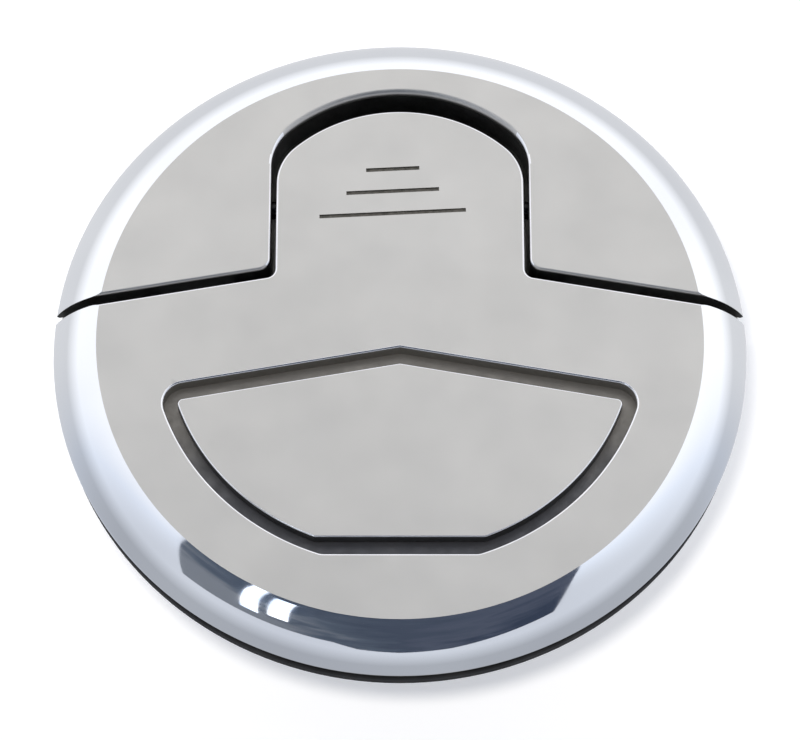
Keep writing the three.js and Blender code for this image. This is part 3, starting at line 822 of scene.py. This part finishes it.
def makeCap():
    plug, under, radius, high = cap["plug"], cap["under"], cap["radius"], cap["top"]
    body = turned("fill_cap_body", capProfile(), steps=144)
    for x, y in onCircle(cap["notches"], radius + 0.5, 15):
        combine(body, cylinder("notch", cap["notch"], under - 1, high + 1, x, y, sides=24))
    turns = [math.tau * i / 96 for i in range(96)]
    ellipse = [(cap["gripLong"] * math.cos(a), cap["gripWide"] * math.sin(a)) for a in turns]
    grip = slab("grip", ellipse, high - 0.5, cap["gripTop"])
    selectEdges(grip, lambda a, b: a.z > high and b.z > high)
    bpy.ops.mesh.bevel(offset=cap["gripRound"] * mm, segments=5)
    closeEdit()
    for side in (-1, 1):
        spot = (0, side * cap["scoopY"] * mm, (cap["gripTop"] + 2) * mm)
        bpy.ops.mesh.primitive_uv_sphere_add(segments=64, ring_count=32, radius=cap["scoop"] * mm,
                                             location=spot)
        combine(grip, settle(bpy.context.object, "scoop"))
    combine(body, grip, "UNION")
    lugs = cylinder("lugs", cap["lugRadius"], cap["lugUnder"], cap["lugTop"], sides=96)
    half = cap["lugHalf"]
    combine(lugs, block("width", (-half, -30, -20), (half, 30, 0)), "INTERSECT")
    combine(lugs, cylinder("inside", plug - 1, -20, 0, sides=96))
    combine(body, lugs, "UNION")
    smooth(body, 34)
    finishPiece(body, "cap", ["fill_cap"], [nylon])
    bpy.ops.mesh.primitive_torus_add(major_radius=cap["groove"] * mm, minor_radius=cap["ring"] * mm,
                                     major_segments=120, minor_segments=20,
                                     location=(0, 0, cap["ringZ"] * mm))
    seal = settle(bpy.context.object, "cap_seal_ring")
    smooth(seal, 60, weigh=False)
    finishPiece(seal, "cap", ["cap_o_ring"], [rubber])


makeCap()
print("cap made")


hingeParts = {"pin": 1.5, "pinHalf": 26.2, "pinRound": 0.3, "play": 0.3, "bushCollar": 2.9,
              "bushEnds": (-0.1, 0.5), "collarEnds": (0.3, 1.6), "bushRound": 0.15}
spring = {"radius": 2.35, "wire": 0.4, "half": 7.5, "turns": 7.5, "leg": 7.5, "steps": 270}


def makeHinge():
    half, play = hingeParts["pinHalf"], hingeParts["play"]
    pin = crossCylinder("hinge_rod", hingeParts["pin"], -half, half, hingeY, hingeZ)
    smooth(rounded(pin, hingeParts["pinRound"]))
    finishPiece(pin, "base", ["hinge_pin"], [rod])
    inner, outer, bore = lidParts["lugInner"], lidParts["lugOuter"], lidParts["bore"]
    bushIn, bushOut = inner + hingeParts["bushEnds"][0], outer + hingeParts["bushEnds"][1]
    collarIn, collarOut = (outer + reach for reach in hingeParts["collarEnds"])
    for word, side in (("left", -1), ("right", 1)):
        x0, x1 = sorted((side * bushIn, side * bushOut))
        bush = crossCylinder("bush_" + word, bore - play, x0, x1, hingeY, hingeZ)
        x0, x1 = sorted((side * collarIn, side * collarOut))
        combine(bush, crossCylinder("collar", hingeParts["bushCollar"], x0, x1, hingeY, hingeZ), "UNION")
        combine(bush, crossCylinder("bore", hingeParts["pin"] + play, -30, 30, hingeY, hingeZ))
        smooth(rounded(bush, hingeParts["bushRound"], segments=2))
        finishPiece(bush, "lid", ["hinge_bush_" + word], [acetal])


def makeSpring():  # seven and a half turns of wire, one leg under the lid and one on the base
    r, half = spring["radius"], spring["half"]
    section = arc(-half, -r, spring["wire"], 0, math.tau, 12)[:-1]
    coil = ring(section, "torsion_spring", plane="XZ", fill="NOTHING")
    applyModifier(coil, "SCREW", axis="X", angle=math.tau * spring["turns"], screw_offset=2 * half * mm,
                  steps=spring["steps"], render_steps=spring["steps"], use_merge_vertices=False)
    fixNormals(coil)
    editAll(coil)
    bpy.ops.mesh.fill_holes(sides=0)
    closeEdit()
    for end in (-1, 1):
        selectFaces(coil, lambda spot, normal: normal.y < -0.9 and abs(spot.x - end * half) < 0.3
                    and abs(spot.y) < 0.3)
        bpy.ops.mesh.extrude_region_move(TRANSFORM_OT_translate={"value": (0, -spring["leg"] * mm, 0)})
        closeEdit()
    coil.location = (0, hingeY * mm, hingeZ * mm)
    settle(coil, "torsion_spring")
    fixNormals(coil)
    smooth(coil, 50, weigh=False)
    coil.data.materials.append(wire)
    start, end = (-half * mm, hingeY * mm, hingeZ * mm), (half * mm, hingeY * mm, hingeZ * mm)
    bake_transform(coil)
    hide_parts("hinge_spring")


makeHinge()
makeSpring()
print("hinge made")


screwShape = {"root": 0.82, "point": 0.6, "recessHalf": 0.11, "recessLong": 0.55, "recessDeep": 0.42}


def crossScrew(name, head, shank, length, x, y, z, pitch=0.7):  # countersunk, cross recess, threaded
    root, neckZ = shank * screwShape["root"], -(head - shank)
    level = -length + shank * screwShape["point"]
    profile = [(0, -length), (shank * 0.5, -length), (root, level)]
    while level + pitch < neckZ - 1.2:
        profile += [(root, level + pitch * 0.2), (shank, level + pitch * 0.6)]
        level += pitch
    profile += [(root, level + 0.2), (shank * 0.9, neckZ - 0.7), (shank, neckZ - 0.4),
                (head, -0.4), (head, -0.15), (head - 0.15, 0), (0, 0)]
    body = turned(name, profile, steps=48)
    half, deep, long = (head * screwShape[key] for key in ("recessHalf", "recessDeep", "recessLong"))
    for turn in (0, math.pi / 2):
        bar = block("recess", (-long, -half, -deep), (long, half, 1), turn)
        selectFaces(bar, lambda spot, normal: normal.z < -0.9)  # the recess narrows towards its bottom
        bpy.ops.transform.resize(value=(0.45, 0.45, 1), center_override=(0, 0, 0))
        closeEdit()
        combine(body, bar)
    body.location = (x * mm, y * mm, z * mm)
    smooth(settle(body, name), 35)
    return body


def copyOf(obj, name, x, y, z):  # own mesh, moved by that many millimetres
    makeActive(obj)
    bpy.ops.object.duplicate()
    twin = bpy.context.object
    twin.parent = None
    twin.location = (x * mm, y * mm, z * mm)
    return settle(twin, name)


nutShape = {"under": 5.1, "ring": 3.4, "hub": 2.2, "slits": 6, "slitCircle": 1.6, "slit": 0.3}
bumper = {"x": 42.0, "y": -20.0, "radius": 3.0, "round": 0.8, "gap": 0.3, "edge": 0.2}


def makeScrews():
    c, n = coverParts, neckScrews
    first = crossScrew("cover_screw_a", c["screwHead"], c["screwShank"], c["screwLength"],
                       -c["tabX"], c["tabY"], c["tabZ"])
    second = copyOf(first, "cover_screw_b", 2 * c["tabX"], 0, 0)
    finishPiece(first, "base", ["cover_screw_left"], [polished])
    finishPiece(second, "base", ["cover_screw_right"], [polished])
    spots = onCircle(n["count"], n["circle"], 30)
    x0, y0 = spots[0]
    screws = [crossScrew("flange_screw_1", n["head"], n["shank"], n["length"], x0, y0, base["floorZ"],
                         pitch=n["pitch"])]
    for i, (x, y) in enumerate(spots[1:]):
        screws.append(copyOf(screws[0], f"flange_screw_{i + 2}", x - x0, y - y0, 0))
    for i, screw in enumerate(screws):
        finishPiece(screw, "base", [f"neck_screw_{i + 1}"], [polished])


def makeNuts():  # pressed star nuts on the inlay's studs
    x, y, bore = lidParts["stud"]
    bore, under, rim, hub = bore - 0.1, nutShape["under"], nutShape["ring"], nutShape["hub"]
    nut = turned("star_nut_a", [(bore, under), (hub, under), (rim - 0.1, under + 0.25), (rim, under + 0.35),
                                (rim, under + 0.52), (rim - 0.1, under + 0.6), (hub - 0.1, under + 0.4),
                                (bore, under + 0.4)], steps=64)
    for u, v in onCircle(nutShape["slits"], nutShape["slitCircle"], 0):
        combine(nut, cylinder("slit", nutShape["slit"], under - 1.1, under + 1.9, u, v, sides=16))
    nut.location = (-x * mm, y * mm, 0)
    settle(nut, "star_nut_a")
    smooth(nut, 35)
    twin = copyOf(nut, "star_nut_b", 2 * x, 0, 0)
    finishPiece(nut, "lid", ["plate_nut_left"], [wire])
    finishPiece(twin, "lid", ["plate_nut_right"], [wire])


def makeBumpers():
    low, high = skirtZ, top["wallUnder"] - bumper["gap"]
    radius, curve, edge = bumper["radius"], bumper["round"], bumper["edge"]
    pad = turned("bumper_a", [(0, low)] + arc(radius - curve, low + curve, curve, -math.pi / 2, 0, 6)
                 + [(radius, low + 1.1), (radius, high - edge), (radius - edge, high), (0, high)], steps=64)
    pad.location = (-bumper["x"] * mm, bumper["y"] * mm, 0)
    settle(pad, "bumper_a")
    smooth(pad, 45)
    twin = copyOf(pad, "bumper_b", 2 * bumper["x"], 0, 0)
    finishPiece(pad, "lid", ["lid_bumper_left"], [rubber])
    finishPiece(twin, "lid", ["lid_bumper_right"], [rubber])


tag = {"eye": 4.2, "half": 3.1, "end": 17.0, "thick": 0.8, "hole": 2.3, "low": -22.8, "corner": 1.0,
       "wireHole": 0.9, "wireHoleIn": 3.5, "edge": 0.12}
panScrew = {"head": 3.8, "headTall": 2.6, "round": 1.2, "shank": 1.8, "root": 1.55, "gap": 0.3,
            "ridges": (0.8, 1.5, 2.3, 3.1), "slotHalf": 0.55, "slotDeep": 1.0, "end": 4.2}


def makeBondingTag():
    y, low, half, corner = neckScrews["circle"], tag["low"], tag["half"], tag["corner"]
    end, high = y + tag["end"], tag["low"] + tag["thick"]
    outline = arc(0, y, tag["eye"], math.radians(125), math.radians(415), 40)
    blade = [(half, end - corner), (half - corner, end), (corner - half, end), (-half, end - corner)]
    strip = slab("bonding_strip", outline + blade, low, high)
    combine(strip, cylinder("hole", tag["hole"], low - 1, low + 2, 0, y, sides=40))
    combine(strip, cylinder("hole", tag["wireHole"], low - 1, low + 2, 0, end - tag["wireHoleIn"], sides=24))
    smooth(rounded(strip, tag["edge"], segments=2))
    finishPiece(strip, "base", ["bonding_tag"], [tinned])


def makeBondingScrew():
    y, z = neckScrews["circle"], tag["low"] - panScrew["gap"]
    head, tall, curve = panScrew["head"], panScrew["headTall"], panScrew["round"]
    shank, root, first = panScrew["shank"], panScrew["root"], panScrew["ridges"][0]
    profile = [(0, z - tall)] + arc(head - curve, z - tall + curve, curve, -math.pi / 2, 0, 6)
    profile += [(head, z), (shank, z), (shank, z + first)]
    for before, ridge in zip(panScrew["ridges"], panScrew["ridges"][1:]):
        profile += [(root, z + (before + ridge) / 2), (shank, z + ridge)]
    profile += [(root, z + 3.6), (1.2, z + panScrew["end"]), (0, z + panScrew["end"])]
    body = turned("bonding_pan_screw", profile, steps=48)
    body.location = (0, y * mm, 0)
    settle(body, "bonding_pan_screw")
    half, deep = panScrew["slotHalf"], panScrew["slotDeep"]
    combine(body, block("slot", (-5, y - half, z - 3), (5, y + half, z - tall + deep)))
    smooth(body, 35)
    finishPiece(body, "base", ["bonding_screw"], [polished])


makeScrews()
makeNuts()
makeBumpers()
makeBondingTag()
makeBondingScrew()
print("fixings and bonding lug made")


view = {"elevation": 65.2, "aim": (0.0, -6.3, faceZ), "distance": 600.0, "width": 128.96,
        "sensor": 36.0}


def makeCamera():
    tilt = math.radians(view["elevation"])
    aim = Vector(view["aim"]) * mm
    spot = aim + Vector((0, -math.cos(tilt), math.sin(tilt))) * view["distance"] * mm
    bpy.ops.object.camera_add(location=spot, rotation=(math.radians(90) - tilt, 0, 0))
    camera = bpy.context.object
    camera.data.sensor_width = view["sensor"]
    camera.data.lens = view["sensor"] * view["distance"] / view["width"]
    camera.data.clip_start = 0.01
    bpy.context.scene.camera = camera


def makeFloor():
    level = cadBox[0][2]
    bpy.ops.mesh.primitive_plane_add(size=8, location=(0, 0, level))
    floor = settle(bpy.context.object, "floor")
    material, tree, shader, place = startMaterial("paleFloor", {"Roughness": 0.8, "Specular IOR Level": 0.1})
    tint = addTint(tree, shader, grain(tree, place, 300), "f3f3f4", "f8f8f9")
    tree.links.new(tint, shader.inputs["Emission Color"])  # a lit sweep: keeps the ground near white
    shader.inputs["Emission Strength"].default_value = 0.2
    floor.data.materials.append(material)
    floor.visible_glossy = False  # the polish mirrors the dimmer room instead of this bright sweep


def aimAt(obj, spot):
    direction = Vector(spot) - obj.location
    obj.rotation_euler = direction.to_track_quat("-Z", "Y").to_euler()


def addLight(name, shape, location, size, radiance, colour, aim=(0, 0, 0)):
    bpy.ops.object.light_add(type="AREA", location=location)
    light = bpy.context.object
    light.name = name
    light.data.shape = shape
    light.data.size = size[0]
    light.data.size_y = size[1]
    light.data.energy = radiance * math.pi * size[0] * size[1]
    light.data.color = hexColour(colour)[:3]
    aimAt(light, aim)
    return light


# Dark room behind the camera: an outline at its height, which the polished rim mirrors at its front.
room = {"height": 0.8, "outline": [(-0.19, 0.15), (-1.09, -0.66), (-0.62, -0.9), (-0.32, -1.02),
                                   (-0.24, -1.3), (0.0, -1.42), (0.3, -1.3), (0.68, -0.78), (0.2, 0.09)]}


def makeRoomCard():
    outline = [(x / mm, y / mm) for x, y in room["outline"]]
    card = ring(outline, "roomCard", level=room["height"] / mm)
    material, tree, shader, place = startMaterial("roomShade", {"Roughness": 0.9, "Specular IOR Level": 0.1})
    across = addNode(tree, "ShaderNodeSeparateXYZ", links={"Vector": place}).outputs["X"]
    blobs = grain(tree, place, 260, detail=4, roughness=0.6)
    mix = addNode(tree, "ShaderNodeMath", settings={"operation": "MULTIPLY_ADD"}, values={1: 1.1},
                  links={0: across, 2: blobs}).outputs["Value"]
    tint = addRamp(tree, mix, [(0.0, hexColour("878b90")), (0.22, hexColour("5b6470")),
                               (0.5, hexColour("4a5260")), (0.75, hexColour("555b69")),
                               (1.0, hexColour("3c4556"))])
    tree.links.new(tint, shader.inputs["Base Color"])
    card.data.materials.append(material)


# Two tall window panes just below the room card, as outlines in the same plane.
panes = [[(-0.166, 0.029), (-0.148, 0.019), (-0.52, -0.63), (-0.588, -0.6)],
         [(-0.173, -0.06), (-0.145, -0.072), (-0.363, -0.578), (-0.434, -0.553)]]


def makeWindows():
    for outline in panes:
        pane = ring([(x / mm, y / mm) for x, y in outline], "windowPane", level=(room["height"] - 0.01) / mm)
        material, tree, shader, place = startMaterial("windowLight", {"Roughness": 0.8})
        sky = addRamp(tree, grain(tree, place, 160),
                      [(0.35, hexColour("b8cff0")), (0.6, hexColour("ffffff"))])
        tree.links.new(sky, shader.inputs["Emission Color"])
        shader.inputs["Emission Strength"].default_value = 1.5
        pane.data.materials.append(material)


def makeWorld():  # a pale room: bright behind the fitting, bluer in front of it, dimmer near the horizon
    world = bpy.data.worlds.new("studio")
    world.use_nodes = True
    tree = world.node_tree
    direction = addNode(tree, "ShaderNodeTexCoord").outputs["Generated"]
    parts = addNode(tree, "ShaderNodeSeparateXYZ", links={"Vector": direction}).outputs
    back = addNode(tree, "ShaderNodeMapRange", settings={"interpolation_type": "SMOOTHSTEP"},
                   values={"From Min": -0.35, "From Max": 0.45}, links={"Value": parts["Y"]})
    colour = addRamp(tree, back.outputs["Result"], [(0.0, hexColour("c8ccd4")), (0.5, hexColour("dde3ee")),
                                                    (1.0, hexColour("fbfcff"))])
    height = addNode(tree, "ShaderNodeMapRange", values={"From Min": 0.05, "From Max": 0.45, "To Min": 0.82,
                     "To Max": 1.28}, links={"Value": parts["Z"]}).outputs["Result"]
    tree.links.new(colour, tree.nodes["Background"].inputs["Color"])
    tree.links.new(height, tree.nodes["Background"].inputs["Strength"])
    bpy.context.scene.world = world
    bpy.context.scene.view_settings.view_transform = "Standard"


makeCamera()
makeFloor()
makeWorld()
makeRoomCard()
makeWindows()
lamp = addLight("keyLamp", "ELLIPSE", (-0.016, -0.236, 0.565), (0.03, 0.03), 36, "fffaf2")
lamp.data.spread = math.radians(40)
lamp.visible_glossy = False  # fills the floor round the fitting without a glare on the polish
print("stage made")
